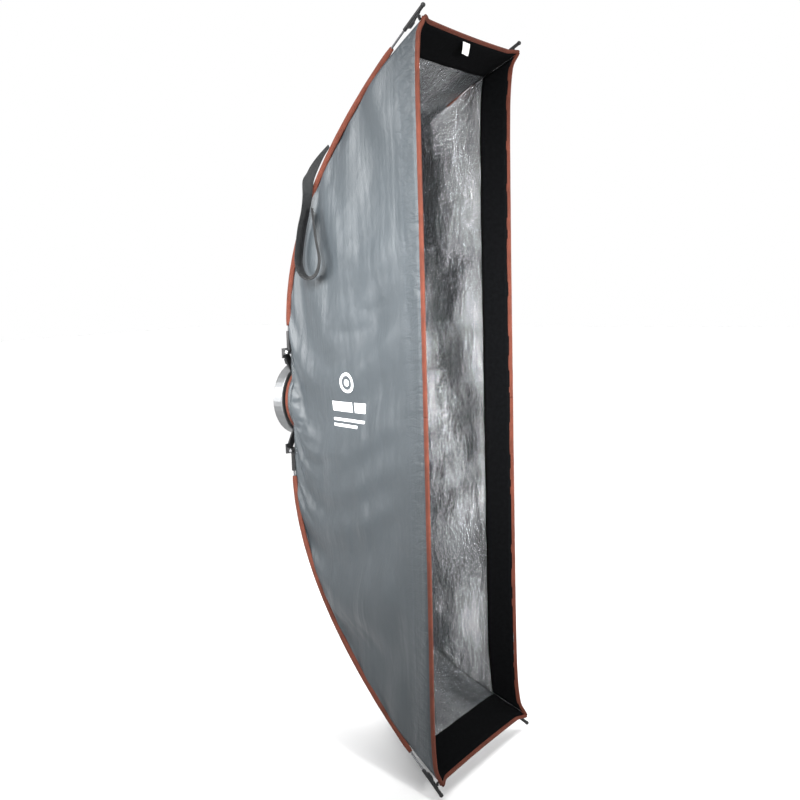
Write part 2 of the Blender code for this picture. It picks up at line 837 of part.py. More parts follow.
def make_panels():
    lip_rows = spread(LIP_START, BINDING_START, 1)
    side_rows = spread(0.05, LIP_START, 12) + lip_rows[1:]
    end_rows = [0.0, *side_rows]
    side_columns = (-1, -0.95, -0.7, -0.35, 0, 0.35, 0.7, 0.95, 1)
    end_columns = spread(-1, 1, 4)
    edge_rows = (BINDING_START + 0.0008, 1.0)
    for name, sign in (("left", -1), ("right", 1)):
        skin = side_surface(sign)
        sheet(f"{name}_panel", skin, side_rows, side_columns, CLOTH, "outer_cloth")
        lining = side_surface(sign, LIP_INSET, 0.010)
        sheet(f"{name}_lip", lining, lip_rows, side_columns, CLOTH, "black_cloth")
        edge = side_surface(sign, 0.0010, 0.0)
        sheet(
            f"{name}_edge_binding",
            edge,
            edge_rows,
            side_columns,
            BINDING_THICKNESS,
            "brown_binding",
        )
    for name, sign in (("top", 1), ("bottom", -1)):
        skin = end_surface(sign)
        sheet(f"{name}_panel", skin, end_rows, end_columns, CLOTH, "outer_cloth")
        lining = end_surface(sign, LIP_INSET * 1.3, 0.0035)
        sheet(f"{name}_lip", lining, lip_rows, end_columns, CLOTH, "black_cloth")
        edge = end_surface(sign, 0.0010, 0.0022)
        sheet(
            f"{name}_edge_binding",
            edge,
            edge_rows,
            end_columns,
            BINDING_THICKNESS,
            "brown_binding",
        )


def make_rear_panel():
    """The flat cloth wall round the ring's opening."""
    half_x, half_z, corner = 0.0475, 0.0940, 0.006
    outline = []
    for sign_x, sign_z, start in ((1, 1, 0), (-1, 1, 90), (-1, -1, 180), (1, -1, 270)):
        centre = (sign_x * (half_x - corner), sign_z * (half_z - corner))
        low = math.radians(start)
        outline += arc(centre, corner, low, low + math.pi / 2, 3)
    hole = arc((0, 0), 0.0440, 0, math.tau * 31 / 32, 31)
    place = (0, HINGE_Y - SEAM_OFFSET, 0)
    frame = basis((1, 0, 0), (0, 0, 1), (0, -1, 0), place)
    plate("rear_panel", [outline, hole], CLOTH, frame, "outer_cloth")


def smooth_route(points, steps):
    """A smooth line through the route's points."""
    path = []
    for i in range(len(points) - 1):
        before = Vector(points[max(i - 1, 0)])
        first, second = Vector(points[i]), Vector(points[i + 1])
        after = Vector(points[min(i + 2, len(points) - 1)])
        for k in range(steps):
            t = k / steps
            path.append(
                0.5
                * (
                    2 * first
                    + (second - before) * t
                    + (2 * before - 5 * first + 4 * second - after) * t * t
                    + (3 * first - before - 3 * second + after) * t**3
                )
            )
    path.append(Vector(points[-1]))
    return path


def make_strap():
    """A hanging loop of flat webbing, sewn along the seam and turning over as it comes back up."""
    edges = [smooth_route(side, 2) for side in zip(*STRAP_EDGES)]

    def point(s, a):
        return edges[0][s].lerp(edges[1][s], a)

    strap = sheet(
        "hanging_strap", point, range(len(edges[0])), (0, 1), STRAP_THICKNESS, "webbing"
    )
    set_origin(strap, STRAP_HINGE)


def make_label():
    """The care label sewn inside the top lip."""
    y, z = seam(LABEL_PLACE)
    top = z - LIP_INSET - LABEL_DROP
    corners = ((-1, 0), (1, 0), (1, -1), (-1, -1))
    outline = [(a * LABEL_WIDTH / 2, b * LABEL_HEIGHT) for a, b in corners]
    frame = basis((1, 0, 0), (0, 0, 1), (0, -1, 0), (LABEL_MIDDLE_X, y, top))
    plate("care_label", [outline], 0.0006, frame, "label_cloth")


clear_scene()
PARTS = new_collection("strip_softbox")
MATERIALS = make_materials()
make_insert()
make_speed_ring()
make_carrier()
make_collar()
make_knob()
make_corners()
make_panels()
make_rear_panel()
make_strap()
make_label()
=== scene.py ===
"""Looks of the folding strip softbox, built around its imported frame.

Metres, +Z up along the long side, -Y towards the open front. The cloth box is four sheets
stretched between the rods, simulated taut and creased, silver-coated inside and black at the lip.
"""

import math

import bmesh
import bpy
import numpy as np
from mathutils import Matrix, Vector, noise


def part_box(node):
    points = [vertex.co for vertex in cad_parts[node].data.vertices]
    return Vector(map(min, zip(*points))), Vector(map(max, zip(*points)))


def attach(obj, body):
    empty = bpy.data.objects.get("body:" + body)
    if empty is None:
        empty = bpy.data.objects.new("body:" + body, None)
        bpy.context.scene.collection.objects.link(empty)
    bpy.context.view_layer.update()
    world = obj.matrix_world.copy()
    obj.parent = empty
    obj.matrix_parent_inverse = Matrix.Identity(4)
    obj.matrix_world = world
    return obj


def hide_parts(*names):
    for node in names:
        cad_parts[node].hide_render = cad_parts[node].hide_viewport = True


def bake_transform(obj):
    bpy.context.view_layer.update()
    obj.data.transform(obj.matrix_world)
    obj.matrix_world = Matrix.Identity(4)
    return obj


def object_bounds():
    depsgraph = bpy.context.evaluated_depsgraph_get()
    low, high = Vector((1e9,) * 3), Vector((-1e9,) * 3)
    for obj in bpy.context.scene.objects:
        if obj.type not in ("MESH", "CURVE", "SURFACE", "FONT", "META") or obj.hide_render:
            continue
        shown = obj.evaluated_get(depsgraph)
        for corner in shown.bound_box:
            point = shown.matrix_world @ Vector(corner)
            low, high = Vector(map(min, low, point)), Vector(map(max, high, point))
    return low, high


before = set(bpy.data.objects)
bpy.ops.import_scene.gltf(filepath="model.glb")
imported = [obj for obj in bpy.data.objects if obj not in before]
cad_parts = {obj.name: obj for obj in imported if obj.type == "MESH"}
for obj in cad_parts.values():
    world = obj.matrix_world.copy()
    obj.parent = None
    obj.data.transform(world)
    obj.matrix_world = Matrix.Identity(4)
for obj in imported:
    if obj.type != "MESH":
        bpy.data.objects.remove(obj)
cad_low, cad_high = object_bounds()
SCENE = bpy.context.scene

# ---------------------------------------------------------------- driving sizes

WIDTH = 0.300
HEIGHT = 1.200
DEPTH = 0.400
SIDE_EDGE_SAG = 0.0115
END_EDGE_SAG = 0.003
CORNER_REACH = Vector((0.0, -0.0075, 0.0010))

HINGE = Vector((0.056, -0.034, 0.092))
ROD_BEND_START = 0.128
ROD_HANDLE_ROOT = 0.161
ROD_HANDLE_TIP = 0.255
ROD_BEND_END = Vector((-0.362, 0.590))
ROD_TIP = Vector((-0.405, 0.6187))
SLEEVE_FROM = 0.03
SLEEVE_TO = 0.955

SEAM_OFFSET = 0.0034
SHANK_SHARE = 0.05
SIDE_INSET = 0.0012
REAR_Y = -0.0398
COLLAR_RADIUS = 0.0655
LIP_REAR = 0.346
EDGE_RISE = 0.0040
MOST_DRAPE = 0.010
LIP_START = 0.944
LIP_INSET = 0.0020
CLOTH = 0.0007

HOOK_CENTRE = (0.0365, 0.0072)
TAB_HALF_GAP = 0.00195
LABEL_RISE = 0.0135
LABEL_FORWARD = 0.0075

# How much of the white world reaches the shaded side
WORLD_DIM = 0.05

CORNERS = {
    "top_left": ("tl", -1, 1),
    "top_right": ("tr", 1, 1),
    "bottom_left": ("bl", -1, -1),
    "bottom_right": ("br", 1, -1),
}

# ---------------------------------------------------------------- node material helpers


class Shader:
    """A material's node tree, with short calls for the nodes that the finishes use."""

    def __init__(self, name):
        self.material = bpy.data.materials.new(name)
        self.material.use_nodes = True
        self.nodes = self.material.node_tree.nodes
        self.links = self.material.node_tree.links
        self.surface = self.nodes["Principled BSDF"]

    def node(self, kind, **settings):
        made = self.nodes.new(kind)
        for key, value in settings.items():
            setattr(made, key, value)
        return made

    def link(self, source, target):
        self.links.new(source, target)

    def put(self, target, value):
        if hasattr(value, "is_output"):
            self.link(value, target)
        else:
            target.default_value = value

    def coordinates(self, kind="UV", scale=(1, 1, 1), turn=(0, 0, 0)):
        source = self.node("ShaderNodeTexCoord").outputs[kind]
        mapping = self.node("ShaderNodeMapping")
        mapping.inputs["Scale"].default_value = scale
        mapping.inputs["Rotation"].default_value = turn
        self.link(source, mapping.inputs["Vector"])
        return mapping.outputs["Vector"]

    def noise(self, vector, scale, detail=3.0, roughness=0.55, distortion=0.0):
        made = self.node("ShaderNodeTexNoise")
        made.inputs["Scale"].default_value = scale
        made.inputs["Detail"].default_value = detail
        made.inputs["Roughness"].default_value = roughness
        made.inputs["Distortion"].default_value = distortion
        self.link(vector, made.inputs["Vector"])
        return made.outputs["Fac"]

    def voronoi(self, vector, scale, feature="F1"):
        made = self.node("ShaderNodeTexVoronoi", feature=feature)
        made.inputs["Scale"].default_value = scale
        self.link(vector, made.inputs["Vector"])
        return made.outputs["Distance"]

    def wave(self, vector, scale, direction="X", distortion=0.0, profile="SIN"):
        made = self.node(
            "ShaderNodeTexWave", bands_direction=direction, wave_profile=profile
        )
        made.inputs["Scale"].default_value = scale
        made.inputs["Distortion"].default_value = distortion
        self.link(vector, made.inputs["Vector"])
        return made.outputs["Fac"]

    def math(self, operation, first, second=0.0, third=0.0):
        made = self.node("ShaderNodeMath", operation=operation)
        for socket, value in zip(made.inputs, (first, second, third)):
            self.put(socket, value)
        return made.outputs[0]

    def ramp(self, factor, stops):
        made = self.node("ShaderNodeValToRGB")
        elements = made.color_ramp.elements
        while len(elements) < len(stops):
            elements.new(0.5)
        for element, (place, colour) in zip(elements, stops):
            element.position = place
            element.color = (*colour, 1.0)
        self.link(factor, made.inputs["Fac"])
        return made.outputs["Color"]

    def spread(self, factor, low, high):
        made = self.node("ShaderNodeMapRange")
        made.inputs["To Min"].default_value = low
        made.inputs["To Max"].default_value = high
        self.link(factor, made.inputs["Value"])
        return made.outputs["Result"]

    def mix(self, factor, first, second):
        made = self.node("ShaderNodeMix", data_type="RGBA")
        self.put(made.inputs["Factor"], factor)
        self.put(made.inputs[6], first)
        self.put(made.inputs[7], second)
        return made.outputs[2]

    def bump(self, height, distance, strength=1.0, under=None):
        made = self.node("ShaderNodeBump")
        made.inputs["Strength"].default_value = strength
        made.inputs["Distance"].default_value = distance
        self.link(height, made.inputs["Height"])
        if under is not None:
            self.link(under, made.inputs["Normal"])
        return made.outputs["Normal"]

    def finish(self, **sockets):
        for name, value in sockets.items():
            self.put(self.surface.inputs[name.replace("_", " ")], value)
        return self.material


def outer_cloth():
    """Blue-grey coated nylon: fine plain weave, soft sheen, faint handling marks, a white print."""
    s = Shader("outer_cloth")
    place = s.coordinates("UV")
    warp = s.wave(place, 520, "X")
    weft = s.wave(place, 520, "Y")
    weave = s.math("MULTIPLY", warp, weft)
    clouds = s.noise(place, 9, 4)
    marks = s.noise(s.coordinates("UV", (30, 7, 1)), 1.0, 5, 0.65)
    colour = s.ramp(
        clouds,
        [(0.30, (0.031, 0.038, 0.043)), (0.70, (0.040, 0.048, 0.054))],
    )
    split = s.node("ShaderNodeSeparateXYZ")
    s.link(s.node("ShaderNodeTexCoord").outputs["UV"], split.inputs[0])
    along, up = split.outputs["X"], split.outputs["Y"]
    printed = print_mask(s, along, up)
    stitch = s.math("LESS_THAN", s.math("ABSOLUTE", s.math("SUBTRACT", along, STITCH_U)), 0.0007)
    stitch = s.math("MULTIPLY", stitch, s.math("GREATER_THAN", s.wave(place, 66, "Y"), 0.35))
    colour = s.mix(s.math("MULTIPLY", stitch, 0.6), colour, (0.05, 0.06, 0.07, 1))
    painted = s.mix(printed, colour, (0.86, 0.87, 0.88, 1))
    rough = s.spread(marks, 0.36, 0.50)
    hem = s.math("MULTIPLY", s.math("SUBTRACT", along, STITCH_U - 0.020), 22.0)
    hem = s.math("MINIMUM", s.math("MAXIMUM", hem, 0.0), 1.0)
    side_only = s.math("LESS_THAN", along, 1.0)
    gathers = s.noise(s.coordinates("UV", (0.55, 1.2, 1), (0, 0, math.radians(-24))), 62, 4, 0.6, 0.8)
    gathers = s.math("MULTIPLY", gathers, s.math("MULTIPLY", hem, side_only))
    crease = s.noise(s.coordinates("UV", (1, 0.5, 1)), 34, 5, 0.62, 0.8)
    drape = s.noise(s.coordinates("UV", (1.6, 0.22, 1)), 11, 3, 0.5, 0.5)
    normal = s.bump(weave, 0.00008, 0.35)
    normal = s.bump(crease, 0.0016, 0.5, normal)
    normal = s.bump(gathers, 0.0035, 0.8, normal)
    normal = s.bump(drape, 0.010, 0.5, normal)
    return s.finish(
        Base_Color=painted,
        Roughness=rough,
        Normal=normal,
        Specular_IOR_Level=0.42,
        Sheen_Weight=0.10,
        Sheen_Roughness=0.4,
        Sheen_Tint=(0.86, 0.92, 1.0, 1.0),
    )


def print_mask(s, along, up):
    """A plain generic mark: a ringed dot over two bars, on the side panel's middle."""

    def bar(centre_x, centre_y, half_x, half_y):
        over_x = s.math("SUBTRACT", s.math("ABSOLUTE", s.math("SUBTRACT", along, centre_x)), half_x)
        over_y = s.math("SUBTRACT", s.math("ABSOLUTE", s.math("SUBTRACT", up, centre_y)), half_y)
        return s.math("LESS_THAN", s.math("MAXIMUM", over_x, over_y), 0.0)

    def ring(centre_x, centre_y, inner, outer):
        offset_x = s.math("SUBTRACT", along, centre_x)
        offset_y = s.math("SUBTRACT", up, centre_y)
        squares = s.math("ADD", s.math("POWER", offset_x, 2.0), s.math("POWER", offset_y, 2.0))
        away = s.math("SQRT", squares)
        return s.math("MULTIPLY", s.math("LESS_THAN", away, outer), s.math("GREATER_THAN", away, inner))

    shapes = [
        ring(PRINT_U, 0.047, 0.0125, 0.0175),
        ring(PRINT_U, 0.047, -1.0, 0.0060),
        bar(PRINT_U - 0.020, 0.004, 0.026, 0.0085),
        bar(PRINT_U + 0.026, 0.004, 0.014, 0.0085),
        bar(PRINT_U - 0.002, -0.019, 0.044, 0.0024),
        bar(PRINT_U - 0.012, -0.029, 0.034, 0.0024),
    ]
    mask = shapes[0]
    for shape in shapes[1:]:
        mask = s.math("MAXIMUM", mask, shape)
    return mask


PRINT_U = 0.212
STITCH_U = 0.362
FOLD_LEAN = 0.17
FOLD_PITCH = {-1: 0.24, 1: 0.15}
FOLD_DEPTH = {-1: 0.0022, 1: 0.0048}


def silver_lining():
    """Crinkled metallic coating: fine grain, broad creases, streaks of changing gloss, and painted
    reflections as broad dark and bright patches in its colour.
    """
    s = Shader("silver_lining")
    place = s.coordinates("UV")
    grain = s.voronoi(place, 620, "F1")
    crackle = s.noise(place, 190, 4, 0.7, 0.4)
    folds = s.noise(s.coordinates("UV", (1.0, 0.34, 1)), 26, 5, 0.6, 1.1)
    gloss_and_painted_reflection = s.noise(s.coordinates("UV", (1.0, 0.4, 1)), 7, 4, 0.55, 0.5)
    # painted reflection: the metallic base colour runs from dark to bright in broad patches that stand in
    # for the lining's reflection bands; the same patches also change the gloss
    colour = s.ramp(gloss_and_painted_reflection, [(0.32, (0.10, 0.105, 0.11)), (0.68, (0.42, 0.43, 0.44))])
    rough = s.spread(gloss_and_painted_reflection, 0.15, 0.30)
    normal = s.bump(grain, 0.0006, 0.8)
    normal = s.bump(crackle, 0.0034, 0.9, normal)
    normal = s.bump(folds, 0.0075, 0.65, normal)
    return s.finish(Base_Color=colour, Metallic=0.92, Roughness=rough, Normal=normal)


def black_lip():
    s = Shader("black_lip")
    place = s.coordinates("UV")
    weave = s.math("MULTIPLY", s.wave(place, 420, "X"), s.wave(place, 420, "Y"))
    lint = s.noise(place, 160, 5, 0.7)
    colour = s.ramp(lint, [(0.35, (0.0011, 0.0012, 0.0014)), (0.80, (0.0030, 0.0033, 0.0037))])
    normal = s.bump(weave, 0.0001, 0.5)
    normal = s.bump(s.noise(place, 34, 4), 0.0015, 0.4, normal)
    return s.finish(
        Base_Color=colour, Roughness=0.92, Normal=normal, Specular_IOR_Level=0.04
    )


def brown_tape(name="brown_tape"):
    """Ribbed grosgrain tape: cross ribs with painted shade in their grooves, and darker in worn patches.
    """
    s = Shader(name)
    place = s.coordinates("UV")
    ribs = s.wave(place, 190, "X")
    threads = s.wave(place, 900, "Y")
    wear = s.noise(place, 42, 5, 0.6)
    base = s.ramp(wear, [(0.28, (0.078, 0.020, 0.011)), (0.75, (0.142, 0.038, 0.022))])
    # painted shade: the tape colour is darkened in the rib grooves
    painted_rib_shade = s.ramp(ribs, [(0.0, (0.62, 0.60, 0.60)), (0.6, (1.0, 1.0, 1.0))])
    made = s.node("ShaderNodeMix", data_type="RGBA", blend_type="MULTIPLY")
    made.inputs["Factor"].default_value = 1.0
    s.link(base, made.inputs[6])
    s.link(painted_rib_shade, made.inputs[7])
    normal = s.bump(ribs, 0.0004, 0.7)
    normal = s.bump(threads, 0.0001, 0.4, normal)
    return s.finish(
        Base_Color=made.outputs[2],
        Roughness=s.spread(wear, 0.62, 0.84),
        Normal=normal,
        Specular_IOR_Level=0.2,
    )


def webbing():
    """Flat black webbing: herringbone weave."""
    s = Shader("webbing")
    place = s.coordinates("UV")
    chevron = s.wave(s.coordinates("UV", (1, 1, 1), (0, 0, math.radians(38))), 330, "X")
    cross = s.wave(place, 420, "Y")
    lint = s.noise(place, 130, 5, 0.7)
    colour = s.ramp(lint, [(0.3, (0.004, 0.0045, 0.005)), (0.8, (0.011, 0.012, 0.013))])
    normal = s.bump(s.math("MULTIPLY", chevron, cross), 0.0005, 0.9)
    return s.finish(
        Base_Color=colour,
        Roughness=0.74,
        Normal=normal,
        Specular_IOR_Level=0.25,
        Sheen_Weight=0.04,
    )


def metal(name, colour, rough, grain_scale, stretch, bump=0.00006, metallic=1.0):
    """Machined or plated metal: fine directional grain and faint smudges."""
    s = Shader(name)
    grain = s.noise(s.coordinates("Object", stretch), grain_scale, 4, 0.7)
    smudge = s.noise(s.coordinates("Object"), 26, 4, 0.55)
    darker = tuple(c * 0.80 for c in colour)
    tone = s.ramp(smudge, [(0.30, darker), (0.72, colour)])
    blend = s.math("ADD", s.math("MULTIPLY", grain, 0.5), s.math("MULTIPLY", smudge, 0.5))
    return s.finish(
        Base_Color=tone,
        Metallic=metallic,
        Roughness=s.spread(blend, rough * 0.7, rough * 1.3),
        Normal=s.bump(grain, bump, 0.7),
    )


def moulded_plastic():
    """Black glass-filled nylon: fine spark-eroded grain, paler in broad random patches."""
    s = Shader("black_plastic")
    fine = s.noise(s.coordinates("Object"), 900, 3, 0.6)
    broad = s.noise(s.coordinates("Object"), 60, 4, 0.6)
    colour = s.ramp(broad, [(0.3, (0.005, 0.005, 0.0055)), (0.78, (0.011, 0.011, 0.012))])
    return s.finish(
        Base_Color=colour,
        Roughness=s.spread(broad, 0.36, 0.56),
        Normal=s.bump(fine, 0.00012, 0.6),
        Specular_IOR_Level=0.34,
    )


def label_cloth():
    s = Shader("label_cloth")
    place = s.coordinates("UV")
    weave = s.math("MULTIPLY", s.wave(place, 500, "X"), s.wave(place, 700, "Y"))
    soil = s.noise(place, 70, 4)
    colour = s.ramp(soil, [(0.3, (0.74, 0.74, 0.72)), (0.75, (0.88, 0.88, 0.86))])
    return s.finish(Base_Color=colour, Roughness=0.7, Normal=s.bump(weave, 0.0001, 0.5))


def stage_white(name, value):
    s = Shader(name)
    mottle = s.noise(s.coordinates("Object"), 2, 3)
    return s.finish(
        Base_Color=s.ramp(mottle, [(0.3, (value,) * 3), (0.7, (value * 1.02,) * 3)]),
        Roughness=0.9,
        Specular_IOR_Level=0.1,
    )


MATERIALS = {
    "outer_cloth": outer_cloth(),
    "silver_lining": silver_lining(),
    "black_lip": black_lip(),
    "brown_tape": brown_tape(),
    "webbing": webbing(),
    "aluminium": metal("aluminium", (0.24, 0.245, 0.25), 0.50, 55, (1, 14, 1)),
    "black_metal": metal("black_metal", (0.012, 0.012, 0.013), 0.42, 300, (1, 1, 1), 0.0001, 0.25),
    "spring_steel": metal("spring_steel", (0.20, 0.20, 0.21), 0.34, 240, (1, 1, 0.2)),
    "zinc": metal("zinc", (0.40, 0.40, 0.41), 0.34, 320, (1, 1, 1)),
    "black_plastic": moulded_plastic(),
    "label_cloth": label_cloth(),
}


# ---------------------------------------------------------------- mesh helpers


def add_piece(name, mesh, *finishes):
    for finish in finishes:
        mesh.materials.append(MATERIALS[finish])
    mesh.shade_smooth()
    obj = bpy.data.objects.new(name, mesh)
    SCENE.collection.objects.link(obj)
    return obj


def mesh_from(name, points, faces, uvs=None):
    mesh = bpy.data.meshes.new(name)
    mesh.from_pydata([tuple(p) for p in points], [], faces)
    if uvs is not None:
        layer = mesh.uv_layers.new(name="place")
        corners = np.zeros(len(mesh.loops), np.int32)
        mesh.loops.foreach_get("vertex_index", corners)
        layer.data.foreach_set("uv", np.asarray(uvs, np.float32)[corners].ravel())
    mesh.update()
    return mesh


def grid_faces(rows, columns, close=False):
    faces = []
    for i in range(rows - 1):
        for j in range(columns if close else columns - 1):
            k = (j + 1) % columns
            faces.append((i * columns + j, i * columns + k, (i + 1) * columns + k, (i + 1) * columns + j))
    return faces


def sweep(name, path, section, up, finishes, caps=True, scale=None):
    """A closed section of (side, up) points carried along a path. up(i) steers it."""
    count = len(path)
    points, uvs = [], []
    lengths = [0.0]
    for first, second in zip(path, path[1:]):
        lengths.append(lengths[-1] + (second - first).length)
    around = [0.0]
    for (x0, y0), (x1, y1) in zip(section, section[1:]):
        around.append(around[-1] + math.hypot(x1 - x0, y1 - y0))
    for i, place in enumerate(path):
        ahead = path[min(i + 1, count - 1)] - path[max(i - 1, 0)]
        ahead.normalize()
        upward = Vector(up(i))
        upward -= ahead * upward.dot(ahead)
        upward.normalize()
        side = ahead.cross(upward)
        grow = scale(i) if scale else 1.0
        for (x, y), turn in zip(section, around):
            points.append(place + side * x * grow + upward * y * grow)
            uvs.append((lengths[i], turn))
    faces = grid_faces(count, len(section), True)
    if caps:
        faces.append(tuple(range(len(section)))[::-1])
        last = (count - 1) * len(section)
        faces.append(tuple(range(last, last + len(section))))
    obj = add_piece(name, mesh_from(name, points, faces, uvs), *finishes)
    fix_normals(obj)
    return obj


def fix_normals(obj):
    bm = bmesh.new()
    bm.from_mesh(obj.data)
    bmesh.ops.recalc_face_normals(bm, faces=bm.faces)
    bm.to_mesh(obj.data)
    bm.free()


def slab_section(half_x, half_y, corner, steps=3):
    """A rounded rectangle."""
    points = []
    for sign_x, sign_y, start in ((1, 1, 0), (-1, 1, 90), (-1, -1, 180), (1, -1, 270)):
        for k in range(steps + 1):
            angle = math.radians(start + 90 * k / steps)
            points.append(
                (
                    sign_x * (half_x - corner) + corner * math.cos(angle),
                    sign_y * (half_y - corner) + corner * math.sin(angle),
                )
            )
    return points


def lathe(name, profile, finishes, steps=128):
    """A closed profile of (radius, y) turned about the Y axis."""
    points, uvs = [], []
    for k in range(steps):
        angle = k * math.tau / steps
        for index, (radius, y) in enumerate(profile):
            points.append((radius * math.cos(angle), y, radius * math.sin(angle)))
            uvs.append((angle * radius + 3.0, index * 0.004))
    count = len(profile)
    faces = []
    for k in range(steps):
        n = (k + 1) % steps
        for j in range(count):
            m = (j + 1) % count
            faces.append((k * count + j, k * count + m, n * count + m, n * count + j))
    obj = add_piece(name, mesh_from(name, points, faces, uvs), *finishes)
    fix_normals(obj)
    return obj


def modify(obj, kind, **settings):
    modifier = obj.modifiers.new(kind.lower(), kind)
    for key, value in settings.items():
        setattr(modifier, key, value)
    return modifier


def baked(obj):
    """Applies an object's modifiers."""
    bpy.context.view_layer.update()
    graph = bpy.context.evaluated_depsgraph_get()
    mesh = bpy.data.meshes.new_from_object(obj.evaluated_get(graph), depsgraph=graph)
    obj.modifiers.clear()
    obj.data = mesh
    return obj


# ---------------------------------------------------------------- rods and cloth surfaces


def side_x(y):
    grow = (WIDTH / 2 + SIDE_INSET - HINGE.x) / (HINGE.y + DEPTH)
    return HINGE.x + grow * (HINGE.y - y)


def tip_direction():
    return (ROD_TIP - ROD_BEND_END).normalized()


def bend(t):
    p0 = Vector((HINGE.y, ROD_BEND_START))
    p1 = p0 + Vector((0, ROD_HANDLE_ROOT))
    p3 = ROD_BEND_END
    p2 = p3 - tip_direction() * ROD_HANDLE_TIP
    u = 1 - t
    place = u**3 * p0 + 3 * u * u * t * p1 + 3 * u * t * t * p2 + t**3 * p3
    direction = u * u * (p1 - p0) + 2 * u * t * (p2 - p1) + t * t * (p3 - p2)
    return place, direction.normalized()


def seam(s, offset=SEAM_OFFSET):
    """Where two panels meet, as (y, z), from the ring (0) to the front corner (1)."""
    t = max(0.0, (s - SHANK_SHARE) / (1 - SHANK_SHARE))
    place, direction = bend(t)
    place = place + Vector((-direction.y, direction.x)) * offset
    end, end_direction = bend(1)
    end = end + Vector((-end_direction.y, end_direction.x)) * offset
    reach = max(0.0, (t - 0.80) / 0.20)
    place += (Vector((-DEPTH, HEIGHT / 2 + EDGE_RISE)) - end) * reach * reach
    if s < SHANK_SHARE:
        place.y -= (SHANK_SHARE - s) / SHANK_SHARE * (ROD_BEND_START - 0.098)
    return place.x, place.y


def smooth(value, low, high):
    t = min(1.0, max(0.0, (value - low) / (high - low)))
    return t * t * (3 - 2 * t)


def collar_bulge(y, z):
    """How far the side cloth swells out, close to the ring, to meet its round collar."""
    if abs(z) >= COLLAR_RADIUS:
        return 0.0
    past = math.sqrt(COLLAR_RADIUS**2 - z * z) - side_x(REAR_Y) + SIDE_INSET
    return max(0.0, past) * math.exp(-(((REAR_Y - y) / 0.030) ** 2))


def corner_pull(s, a, from_a):
    """How far the cloth is drawn out to the clip, close to the front corners."""
    return CORNER_REACH * smooth(s, 0.94, 1.0) * smooth(abs(a), from_a, 1.0) ** 2


def side_surface(sign, inset=0.0):
    def point(s, a):
        y, z = seam(s)
        y += SIDE_EDGE_SAG * (1 - a**16) * s**8
        x = side_x(y) - SIDE_INSET - inset + collar_bulge(y, a * z)
        x -= 0.004 * (1 - a**4) * smooth(s, 0.55, 1.0)
        pull = corner_pull(s, a, 0.955)
        return Vector((sign * x, y + pull.y, a * z + math.copysign(pull.z, a)))

    return point


def end_surface(sign, inset=0.0):
    def point(s, a):
        y, z = seam(s)
        half = side_x(y) - SIDE_INSET - 0.0004
        drop = END_EDGE_SAG * (1 - a * a) * s**8
        pull = corner_pull(s, a, 0.80)
        return Vector((a * half, y + pull.y, sign * (z - drop - inset + pull.z)))

    return point


def wrinkle(place, scale, seed):
    return noise.noise(Vector(place) * scale + Vector((seed, -seed, 2.3 * seed)))


def stretched(obj, pinned, growth, frames=26):
    """Lets a pinned sheet settle with a little spare cloth, and keeps the creased result."""
    group = obj.vertex_groups.new(name="pinned")
    for index, weight in enumerate(pinned):
        if weight > 0:
            group.add([index], weight, "REPLACE")
    cloth = obj.modifiers.new("cloth", "CLOTH")
    settings = cloth.settings
    settings.quality = 5
    settings.mass = 0.10
    settings.tension_stiffness = 12
    settings.compression_stiffness = 12
    settings.shear_stiffness = 6
    settings.bending_stiffness = 0.25
    settings.vertex_group_mass = "pinned"
    settings.shrink_min = -growth
    settings.effector_weights.gravity = 0.15
    cloth.collision_settings.use_collision = False
    cloth.collision_settings.use_self_collision = False
    cloth.point_cache.frame_start = 1
    cloth.point_cache.frame_end = frames
    for step in range(1, frames + 1):
        SCENE.frame_set(step)
    before = [v.co.copy() for v in obj.data.vertices]
    baked(obj)
    for vertex, place in zip(obj.data.vertices, before):
        free = 1 - smooth(-place.y, LIP_REAR - 0.050, LIP_REAR)
        shift = (vertex.co - place) * free
        if shift.length > MOST_DRAPE:
            shift *= MOST_DRAPE / shift.length
        vertex.co = place + shift
    SCENE.frame_set(1)
    obj.vertex_groups.clear()
    return obj


def cloth_sheet(name, surface, rows, columns, place):
    """A grid over surface(s, a), with UVs in metres from place(point)."""
    points = [surface(s, a) for s in rows for a in columns]
    faces = grid_faces(len(rows), len(columns))
    return add_piece(name, mesh_from(name, points, faces, [place(p) for p in points]))


def border(rows, columns):
    """1 for each point on the edge of a grid of rows and columns, and 0 inside it."""
    edge_rows, edge_columns = (0, len(rows) - 1), (0, len(columns) - 1)
    return [
        1.0 if i in edge_rows or j in edge_columns else 0.0
        for i in range(len(rows))
        for j in range(len(columns))
    ]


def turn_outward(obj, outward):
    """Turns every face of a sheet to the side that outward points to."""
    bm = bmesh.new()
    bm.from_mesh(obj.data)
    turned = [face for face in bm.faces if face.normal.dot(outward) < 0]
    bmesh.ops.reverse_faces(bm, faces=turned)
    bm.to_mesh(obj.data)
    bm.free()


def spread(low, high, count):
    return [low + (high - low) * i / count for i in range(count + 1)]


def side_uv(point):
    return (-point[1] + abs(point[0]) * 0.12, point[2])


def end_uv(point):
    return (point[0] + 3.0, math.hypot(point[1], point[2]))


def seam_angles():
    table = []
    for s in spread(0.0, 1.0, 80):
        y, z = seam(s, 0.0)
        y, z = y - HINGE.y, z - HINGE.z
        table.append((math.hypot(y, z), math.atan2(z, -y)))
    return sorted(table)


SEAM_ANGLES = seam_angles()


def fold_with_rod(obj):
    """Bakes a sheet's object transform into its mesh."""
    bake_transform(obj)


